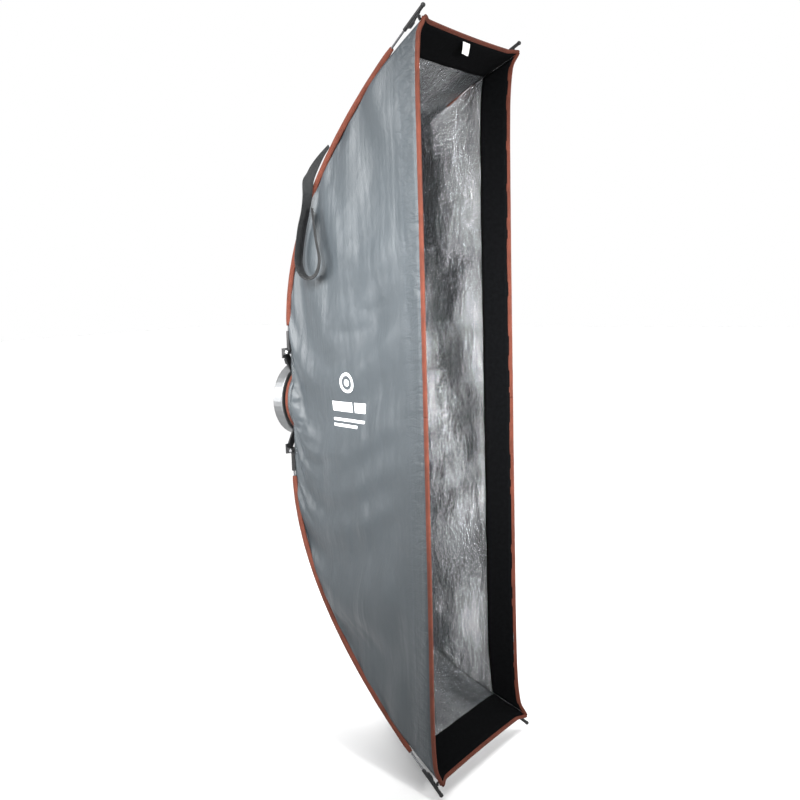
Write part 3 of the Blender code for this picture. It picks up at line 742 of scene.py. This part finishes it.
def split_at_middle(obj, upper_name, lower_name):
    """Cuts a sheet along z = 0 into an upper and a lower piece, and keeps its shading whole."""
    normals = np.zeros(len(obj.data.vertices) * 3, np.float32)
    obj.data.vertex_normals.foreach_get("vector", normals)
    kept = obj.data.attributes.new("whole_normal", "FLOAT_VECTOR", "POINT")
    kept.data.foreach_set("vector", normals)
    halves = []
    for name, keep_upper in ((upper_name, True), (lower_name, False)):
        mesh = obj.data.copy()
        bm = bmesh.new()
        bm.from_mesh(mesh)
        drop = [f for f in bm.faces if (f.calc_center_median().z > 0) != keep_upper]
        bmesh.ops.delete(bm, geom=drop, context="FACES")
        rim = [edge for edge in bm.edges if edge.is_boundary]
        bmesh.ops.holes_fill(bm, edges=rim, sides=len(rim))
        bm.to_mesh(mesh)
        bm.free()
        mesh.name = name
        stored = mesh.attributes["whole_normal"]
        directions = np.zeros(len(mesh.vertices) * 3, np.float32)
        stored.data.foreach_get("vector", directions)
        mesh.attributes.remove(stored)
        mesh.normals_split_custom_set_from_vertices(directions.reshape(-1, 3).tolist())
        piece = bpy.data.objects.new(name, mesh)
        SCENE.collection.objects.link(piece)
        halves.append(piece)
    bpy.data.objects.remove(obj, do_unlink=True)
    return halves


def two_sided(obj, thickness=CLOTH):
    """Gives a sheet its thickness, with the second material on its inner side."""
    modify(obj, "SOLIDIFY", thickness=thickness, offset=-1, material_offset=1)
    return obj


# ---------------------------------------------------------------- cloth box


def front_puckers(point, strength):
    """Short gathers in from the front hem, where the binding draws the cloth up."""
    x, y, z = point
    hem = smooth(-y, DEPTH - 0.075, DEPTH - 0.030) * (1 - smooth(-y, DEPTH - 0.014, DEPTH - 0.006))
    ripple = wrinkle((0, y * 0.6, z + y * 0.8), 62, 3.1) + 0.6 * wrinkle((0, y, z - y * 0.5), 120, 7.7)
    stitch = math.exp(-(((-y - (DEPTH - 0.052)) / 0.006) ** 2))
    return strength * (hem * ripple - 0.55 * stitch)


def make_side(name, sign, left_name):
    rows = spread(SHANK_SHARE, 0.9965, 34)
    columns = spread(-1, 1, 132)
    obj = cloth_sheet(f"{name}_skin", side_surface(sign), rows, columns, side_uv)
    stretched(obj, border(rows, columns), 0.010)
    modify(obj, "SUBSURF", levels=1, render_levels=1, boundary_smooth="PRESERVE_CORNERS")
    baked(obj)
    for vertex in obj.data.vertices:
        point = vertex.co
        edge = max(abs(point.z) / 0.6, 0.0)
        radial = wrinkle((0, point.y * 1.0 + point.z * 0.55, point.z * 0.9 - point.y), 15, 5.5 + sign)
        streak = wrinkle((0, point.y * 1.7, point.z * 0.35), 22, 9.1 + sign)
        calm = 1 - smooth(edge, 0.94, 1.0)
        wander = 1.6 * wrinkle((0, point.y, point.z * 0.5), 5, 12.0 + sign)
        swell = math.sin(math.tau * (point.y - FOLD_LEAN * point.z) / FOLD_PITCH[sign] + wander)
        swell *= FOLD_DEPTH[sign] * (1 - smooth(-point.y, LIP_REAR - 0.045, LIP_REAR))
        push = front_puckers(point, 0.0011) + calm * (swell + 0.0012 * streak + 0.0009 * radial)
        fade = smooth(-point.y, 0.040, 0.060) * (1 - smooth(-point.y, DEPTH - 0.012, DEPTH - 0.002))
        point.x += sign * push * fade
    turn_outward(obj, Vector((sign, 0, 0)))
    obj.data.materials.append(MATERIALS["outer_cloth"])
    obj.data.materials.append(MATERIALS["silver_lining"])
    two_sided(obj)
    baked(obj)
    halves = split_at_middle(obj, f"{name}_skin_upper", f"{name}_skin_lower")
    for piece, corner in zip(halves, (f"top_{left_name}", f"bottom_{left_name}")):
        fold_with_rod(piece)
        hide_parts(f"{name}_panel")


def make_end(name, sign_z, rod):
    rows = spread(0.0, 0.9965, 60)
    columns = spread(-1, 1, 28)
    obj = cloth_sheet(f"{name}_skin", end_surface(sign_z), rows, columns, end_uv)
    stretched(obj, border(rows, columns), 0.008)
    modify(obj, "SUBSURF", levels=1, render_levels=1, boundary_smooth="PRESERVE_CORNERS")
    baked(obj)
    for vertex in obj.data.vertices:
        point = vertex.co
        half = side_x(point.y)
        calm = 1 - smooth(abs(point.x) / half, 0.86, 1.0)
        push = 0.0012 * wrinkle((point.x * 1.2, point.y, point.z), 20, 4.4) * calm
        fade = 1 - smooth(-point.y, DEPTH - 0.012, DEPTH - 0.002)
        point.z += sign_z * push * fade
    turn_outward(obj, Vector((0, 0.5, sign_z)))
    obj.data.materials.append(MATERIALS["outer_cloth"])
    obj.data.materials.append(MATERIALS["silver_lining"])
    two_sided(obj)
    baked(obj)
    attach(obj, "arm_" + rod)
    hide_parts(f"{name}_panel")


def make_lips():
    """The black band sewn inside the front edge, looser and wavier towards its rear."""
    rows = spread(LIP_START, 0.996, 8)
    for name, sign, short in (("left", -1, "left"), ("right", 1, "right")):
        base = side_surface(sign, LIP_INSET)

        def wavy(s, a, base=base, sign=sign):
            point = base(s, a * 0.990)
            loose = smooth(0.97 - s, 0.0, 0.03)
            point.y += 0.0016 * loose * wrinkle((0, 0, point.z), 14, 2.0 + sign)
            point.x -= sign * 0.0012 * loose * (1 + wrinkle((0, 0, point.z), 9, 6.0 + sign))
            return point

        obj = cloth_sheet(f"{name}_lip_band", wavy, rows, spread(-1, 1, 160), side_uv)
        obj.data.materials.append(MATERIALS["black_lip"])
        modify(obj, "SOLIDIFY", thickness=0.0008, offset=0)
        baked(obj)
        halves = split_at_middle(obj, f"{name}_lip_upper", f"{name}_lip_lower")
        for piece, corner in zip(halves, (f"top_{short}", f"bottom_{short}")):
            rod, _, sign_z = CORNERS[corner]
            fold_with_rod(piece)
            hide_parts(f"{name}_lip")
    for name, sign_z, rod in (("top", 1, "tl"), ("bottom", -1, "bl")):
        base = end_surface(sign_z, LIP_INSET * 1.2)

        def wavy(s, a, base=base, sign_z=sign_z):
            point = base(s, a)
            point.x *= 0.985
            loose = smooth(0.97 - s, 0.0, 0.03)
            point.z -= sign_z * 0.0012 * loose * (1 + wrinkle((point.x, 0, 0), 18, 4.0))
            return point

        obj = cloth_sheet(f"{name}_lip_band", wavy, rows, spread(-1, 1, 48), end_uv)
        obj.data.materials.append(MATERIALS["black_lip"])
        modify(obj, "SOLIDIFY", thickness=0.0008, offset=0)
        baked(obj)
        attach(obj, "arm_" + rod)
        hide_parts(f"{name}_lip")


def make_bindings():
    """The ribbed brown tape folded over the front edge, in four runs that meet at the corners."""
    section = slab_section(0.0021, 0.0040, 0.0014)
    for name, sign in (("left", -1), ("right", 1)):
        surface = side_surface(sign, 0.0002)
        path = [surface(0.9970, a) for a in spread(-1.0, 1.0, 320)]
        for point in path:
            point.x += sign * 0.0004 * wrinkle(point, 40, 1.0)
        middle = len(path) // 2
        for piece_name, part, corner in (
            (f"{name}_binding_lower", path[: middle + 1], f"bottom_{name}"),
            (f"{name}_binding_upper", path[middle:], f"top_{name}"),
        ):
            rod, _, sign_z = CORNERS[corner]
            obj = sweep(piece_name, part, section, lambda i: (sign * 0.26, -1, 0), ["brown_tape"])
            fold_with_rod(obj)
            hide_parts(f"{name}_edge_binding")
    for name, sign_z, rod in (("top", 1, "tl"), ("bottom", -1, "bl")):
        surface = end_surface(sign_z, 0.0002)
        path = [surface(0.9970, a) for a in spread(-1, 1, 120)]
        obj = sweep(
            f"{name}_binding", path, section, lambda i: (0, -1, 0.55 * sign_z), ["brown_tape"]
        )
        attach(obj, "arm_" + rod)
        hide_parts(f"{name}_edge_binding")


def make_sleeves():
    """The sewn tunnels that hold the rods, slightly gathered along their length."""
    for corner, (rod, sign_x, sign_z) in CORNERS.items():
        path = []
        for t in spread(SLEEVE_FROM - 0.005, SLEEVE_TO, 110):
            place, direction = bend(t)
            inward = Vector((-direction.y, direction.x))
            place = place + inward * 0.0004
            path.append(Vector((sign_x * side_x(place.x), place.x, sign_z * place.y)))
        section = []
        for k in range(20):
            angle = k * math.tau / 20
            flange = 1.0 + 0.35 * max(0.0, math.cos(angle + math.pi / 2)) ** 3
            section.append((0.0043 * math.cos(angle), 0.0043 * math.sin(angle) * flange))

        def lean(i, sign_z=sign_z):
            _, direction = bend(SLEEVE_FROM + (SLEEVE_TO - SLEEVE_FROM) * i / 110)
            return (0, direction.y, -direction.x * sign_z)

        def gather(i, seed=ord(rod[0]) + ord(rod[1])):
            end = 1 - 0.22 * math.exp(-(((110 - i) / 1.5) ** 2)) - 0.15 * math.exp(-((i / 1.5) ** 2))
            return end * (1 + 0.05 * noise.noise(Vector((i * 0.21, seed, 0))))

        obj = sweep(f"rod_sleeve_cloth_{corner}", path, section, lean, ["brown_tape"], True, gather)
        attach(obj, "arm_" + rod)
        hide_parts(f"rod_sleeve_{corner}")


def make_rear_cloth():
    """The cloth wall behind the light, and the bound collar round the carrier ring."""
    half = side_x(REAR_Y) - SIDE_INSET - 0.0004
    top = 0.0985
    for name, sign_z in (("upper", 1), ("lower", -1)):
        columns = spread(-half, half, 36)
        rows = spread(0, 1, 22)

        def wall(s, x, sign_z=sign_z):
            start = math.sqrt(COLLAR_RADIUS**2 - x * x)
            z = start + (top - start) * s
            crease = 0.0006 * wrinkle((x, 0, z), 60, 1.5 + sign_z)
            return Vector((x, REAR_Y + crease, sign_z * z))

        obj = cloth_sheet(f"rear_wall_{name}", wall, rows, columns, end_uv)
        turn_outward(obj, Vector((0, 1, 0)))
        obj.data.materials.append(MATERIALS["outer_cloth"])
        obj.data.materials.append(MATERIALS["silver_lining"])
        two_sided(obj)
        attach(obj, "head")
        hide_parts("rear_panel")
    inner = COLLAR_RADIUS - 0.0012
    profile = [
        (inner, -0.0335),
        (COLLAR_RADIUS + 0.0004, -0.0335),
        (COLLAR_RADIUS + 0.0016, -0.0360),
        (COLLAR_RADIUS + 0.0012, -0.0385),
        (COLLAR_RADIUS + 0.0004, -0.0404),
        (inner, -0.0404),
    ]
    collar = lathe("rear_collar_cloth", profile, ["outer_cloth"], 120)
    for vertex in collar.data.vertices:
        angle = math.atan2(vertex.co.z, vertex.co.x)
        place = Vector((math.cos(angle) * 6, math.sin(angle) * 6, vertex.co.y * 90))
        ripple = 1 + 0.008 * noise.noise(place)
        vertex.co.x *= ripple
        vertex.co.z *= ripple
    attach(collar, "head")
    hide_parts("rear_collar")
    circle = [
        Vector((COLLAR_RADIUS * math.cos(a), -0.0310, COLLAR_RADIUS * math.sin(a)))
        for a in spread(0, math.tau, 150)
    ]
    binding = sweep(
        "collar_binding_tape",
        circle,
        slab_section(0.0016, 0.0028, 0.0010),
        lambda i: (0, 1, 0),
        ["brown_tape"],
        False,
    )
    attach(binding, "head")
    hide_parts("collar_binding")


def make_label():
    low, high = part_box("care_label")
    middle = (low + high) / 2
    rows, columns = spread(0, 1, 12), spread(-1, 1, 16)
    half = (high.x - low.x) / 2
    height = high.z - low.z

    def hanging(s, a):
        curl = 0.0035 * s * s + 0.0012 * math.sin(a * 2.2) * s
        top = high.z + LABEL_RISE
        return Vector((middle.x + a * half, middle.y - LABEL_FORWARD + curl, top - s * height))

    obj = cloth_sheet("care_label_tag", hanging, rows, columns, lambda p: (p[0], p[2]))
    obj.data.materials.append(MATERIALS["label_cloth"])
    modify(obj, "SOLIDIFY", thickness=0.0005, offset=0)
    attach(obj, "arm_tl")
    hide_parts("care_label")


STRAP_EDGES = (
    ((-0.0913, -0.1697, 0.4466), (-0.0920, -0.1725, 0.4413)),
    ((-0.0857, -0.1439, 0.4325), (-0.0879, -0.1565, 0.4283)),
    ((-0.0823, -0.1238, 0.4177), (-0.0853, -0.1428, 0.4121)),
    ((-0.0856, -0.1162, 0.4046), (-0.0864, -0.1350, 0.3979)),
    ((-0.0969, -0.1150, 0.3900), (-0.0900, -0.1329, 0.3844)),
    ((-0.1094, -0.1242, 0.3620), (-0.0901, -0.1292, 0.3627)),
    ((-0.1075, -0.1179, 0.3374), (-0.0876, -0.1196, 0.3363)),
    ((-0.1034, -0.1055, 0.3111), (-0.0837, -0.1082, 0.3096)),
    ((-0.1002, -0.0953, 0.2755), (-0.0803, -0.0973, 0.2757)),
    ((-0.0994, -0.0924, 0.2532), (-0.0794, -0.0934, 0.2532)),
    ((-0.1004, -0.0984, 0.2355), (-0.0810, -0.0971, 0.2401)),
    ((-0.1022, -0.1103, 0.2252), (-0.0842, -0.1044, 0.2317)),
    ((-0.1039, -0.1265, 0.2212), (-0.0885, -0.1154, 0.2275)),
    ((-0.1063, -0.1427, 0.2254), (-0.0928, -0.1291, 0.2308)),
    ((-0.1083, -0.1537, 0.2385), (-0.0952, -0.1390, 0.2422)),
    ((-0.1088, -0.1575, 0.2577), (-0.0956, -0.1425, 0.2583)),
    ((-0.1065, -0.1512, 0.2799), (-0.0931, -0.1364, 0.2807)),
    ((-0.1040, -0.1444, 0.3140), (-0.0905, -0.1296, 0.3152)),
    ((-0.1018, -0.1396, 0.3429), (-0.0882, -0.1251, 0.3445)),
)


def smooth_route(points, steps):
    path = []
    for i in range(len(points) - 1):
        before = Vector(points[max(i - 1, 0)])
        first, second = Vector(points[i]), Vector(points[i + 1])
        after = Vector(points[min(i + 2, len(points) - 1)])
        for k in range(steps):
            t = k / steps
            path.append(
                0.5
                * (
                    2 * first
                    + (second - before) * t
                    + (2 * before - 5 * first + 4 * second - after) * t * t
                    + (3 * first - before - 3 * second + after) * t**3
                )
            )
    path.append(Vector(points[-1]))
    return path


def make_strap():
    """The hanging loop of flat webbing, turning over as it comes back up to the seam."""
    edges = [smooth_route(side, 8) for side in zip(*STRAP_EDGES)]
    count, threads = len(edges[0]), 8
    points, uvs, length = [], [], 0.0
    for i, (outer, inner) in enumerate(zip(*edges)):
        length += (outer + inner - edges[0][i - 1] - edges[1][i - 1]).length / 2 if i else 0.0
        for k in range(threads + 1):
            points.append(outer.lerp(inner, k / threads))
            uvs.append((length, (outer - inner).length * k / threads))
    mesh = mesh_from("hanging_strap_webbing", points, grid_faces(count, threads + 1), uvs)
    obj = add_piece("hanging_strap_webbing", mesh, "webbing")
    modify(obj, "SOLIDIFY", thickness=0.0015, offset=0)
    modify(obj, "BEVEL", width=0.0004, segments=2, limit_method="ANGLE", angle_limit=math.radians(60))
    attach(obj, "strap")
    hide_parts("hanging_strap")


def make_corner_tabs():
    """The webbing tabs at the cloth's corners, each folded over its clip's hook."""
    start = Vector((side_x(ROD_BEND_END.x), *ROD_BEND_END))
    along = (Vector((side_x(ROD_TIP.x), *ROD_TIP)) - start).normalized()
    across = along.cross(Vector((0, 0, -1))).normalized()
    inward = across.cross(along).normalized()
    across = along.cross(inward)
    depth = HOOK_CENTRE[1]
    fold = [(TAB_HALF_GAP, depth + 0.0075), (TAB_HALF_GAP, depth + 0.0045)]
    for angle in spread(0.0, math.pi, 12):
        fold.append((TAB_HALF_GAP * math.cos(angle), depth + 0.0012 - 0.0014 * math.sin(angle)))
    fold += [(-x, n) for x, n in reversed(fold[:2])]
    section = slab_section(0.00045, 0.0013, 0.0003)
    for corner, (rod, sign_x, sign_z) in CORNERS.items():
        mirror = Matrix.Diagonal((sign_x, 1, sign_z))
        path = [mirror @ (start + along * HOOK_CENTRE[0] + inward * n + across * x) for x, n in fold]
        wide = mirror @ along
        obj = sweep(f"corner_tab_webbing_{corner}", path, section, lambda i: wide, ["webbing"])
        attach(obj, "arm_" + rod)
        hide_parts(f"corner_tab_{corner}")


# ---------------------------------------------------------------- CAD nodes that stay


def dress_node(node, finish, bevel=0.00025):
    """Gives a carried-over CAD node its finish and slightly rounded edges."""
    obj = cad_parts[node]
    obj.data.materials.clear()
    obj.data.materials.append(MATERIALS[finish])
    modify(obj, "WELD", merge_threshold=0.00001)
    modify(
        obj,
        "BEVEL",
        width=bevel,
        segments=2,
        limit_method="ANGLE",
        angle_limit=math.radians(40),
    )


def dress_nodes():
    for node, finish in (
        ("speed_ring", "aluminium"),
        ("mount_insert", "aluminium"),
        ("carrier_ring", "black_metal"),
        ("lock_knob", "black_plastic"),
    ):
        dress_node(node, finish)
    for corner in CORNERS:
        dress_node(f"hinge_arm_{corner}", "black_metal")
        dress_node(f"hinge_pin_{corner}", "zinc")
        dress_node(f"carrier_screw_{corner}", "zinc", 0.00015)
        dress_node(f"rod_socket_{corner}", "black_metal")
        dress_node(f"rod_{corner}", "spring_steel")
        dress_node(f"tip_clip_{corner}", "black_plastic", 0.00015)


# ---------------------------------------------------------------- camera, lights and stage


def make_camera():
    """A view from the front left, a little above the middle, rolled slightly."""
    azimuth, elevation = math.radians(-55.414), math.radians(7.0)
    roll = math.radians(-1.554)
    distance = 1.7435
    back = Vector(
        (
            math.sin(azimuth) * math.cos(elevation),
            -math.cos(azimuth) * math.cos(elevation),
            math.sin(elevation),
        )
    )
    level = (-back).cross(Vector((0, 0, 1))).normalized()
    upright = level.cross(-back)
    right = math.cos(roll) * level + math.sin(roll) * upright
    up = -math.sin(roll) * level + math.cos(roll) * upright
    place = Vector((0, -0.19925, 0)) + back * distance + right * 0.0330 + up * 0.0035
    data = bpy.data.cameras.new("camera")
    data.lens = 43.55
    data.sensor_width = 36
    data.clip_start = 0.05
    data.clip_end = 50
    camera = bpy.data.objects.new("camera", data)
    SCENE.collection.objects.link(camera)
    matrix = Matrix((right, up, back)).transposed().to_4x4()
    matrix.translation = place
    camera.matrix_world = matrix
    SCENE.camera = camera


def area_light(name, place, target, size, power, spread_angle=180):
    data = bpy.data.lights.new(name, "AREA")
    data.shape = "RECTANGLE"
    data.size, data.size_y = size
    data.energy = power
    data.spread = math.radians(spread_angle)
    light = bpy.data.objects.new(name, data)
    SCENE.collection.objects.link(light)
    light.location = place
    light.rotation_euler = (Vector(target) - Vector(place)).to_track_quat("-Z", "Y").to_euler()


def make_stage():
    world = bpy.data.worlds.new("studio")
    world.use_nodes = True
    nodes, links = world.node_tree.nodes, world.node_tree.links
    direction = nodes.new("ShaderNodeTexCoord").outputs["Generated"]
    facing = nodes.new("ShaderNodeVectorMath")
    facing.operation = "DOT_PRODUCT"
    facing.inputs[1].default_value = (0.82, 0.57, 0.0)
    links.new(direction, facing.inputs[0])
    ramp = nodes.new("ShaderNodeMapRange")
    ramp.inputs["From Min"].default_value = 0.10
    ramp.inputs["From Max"].default_value = 0.60
    ramp.inputs["To Min"].default_value = WORLD_DIM
    ramp.inputs["To Max"].default_value = 1.0
    links.new(facing.outputs["Value"], ramp.inputs["Value"])
    links.new(ramp.outputs["Result"], nodes["Background"].inputs["Strength"])
    nodes["Background"].inputs["Color"].default_value = (1.0, 1.0, 1.0, 1)
    SCENE.world = world
    mesh = bpy.data.meshes.new("floor")
    bm = bmesh.new()
    bmesh.ops.create_grid(bm, x_segments=4, y_segments=4, size=14)
    bm.to_mesh(mesh)
    bm.free()
    floor = bpy.data.objects.new("floor", mesh)
    floor.location.z = cad_low.z - 0.012
    mesh.materials.append(stage_white("floor", 0.93))
    SCENE.collection.objects.link(floor)
    area_light("key", (-0.98, -0.50, 0.70), (-0.10, -0.26, 0.18), (0.5, 0.5), 5.4, 52)
    area_light("rear", (-1.3, 0.7, 0.45), (-0.07, -0.09, 0.16), (0.8, 0.8), 4.6, 50)
    area_light("front", (-0.55, -1.9, 0.35), (0.12, -0.2, 0.02), (0.3, 0.3), 8.0, 50)
    area_light("fill", (1.1, -1.7, 0.6), (-0.1, -0.2, 0.0), (0.4, 0.4), 5)
    sun = bpy.data.lights.new("overhead", "SUN")
    sun.energy = 2.45
    sun.angle = math.radians(50)
    overhead = bpy.data.objects.new("overhead", sun)
    SCENE.collection.objects.link(overhead)
    SCENE.view_settings.view_transform = "Standard"


make_camera()
make_stage()
make_side("left", -1, "left")
make_side("right", 1, "right")
make_end("top", 1, "tl")
make_end("bottom", -1, "bl")
make_lips()
make_bindings()
make_sleeves()
make_rear_cloth()
make_label()
make_strap()
make_corner_tabs()
dress_nodes()
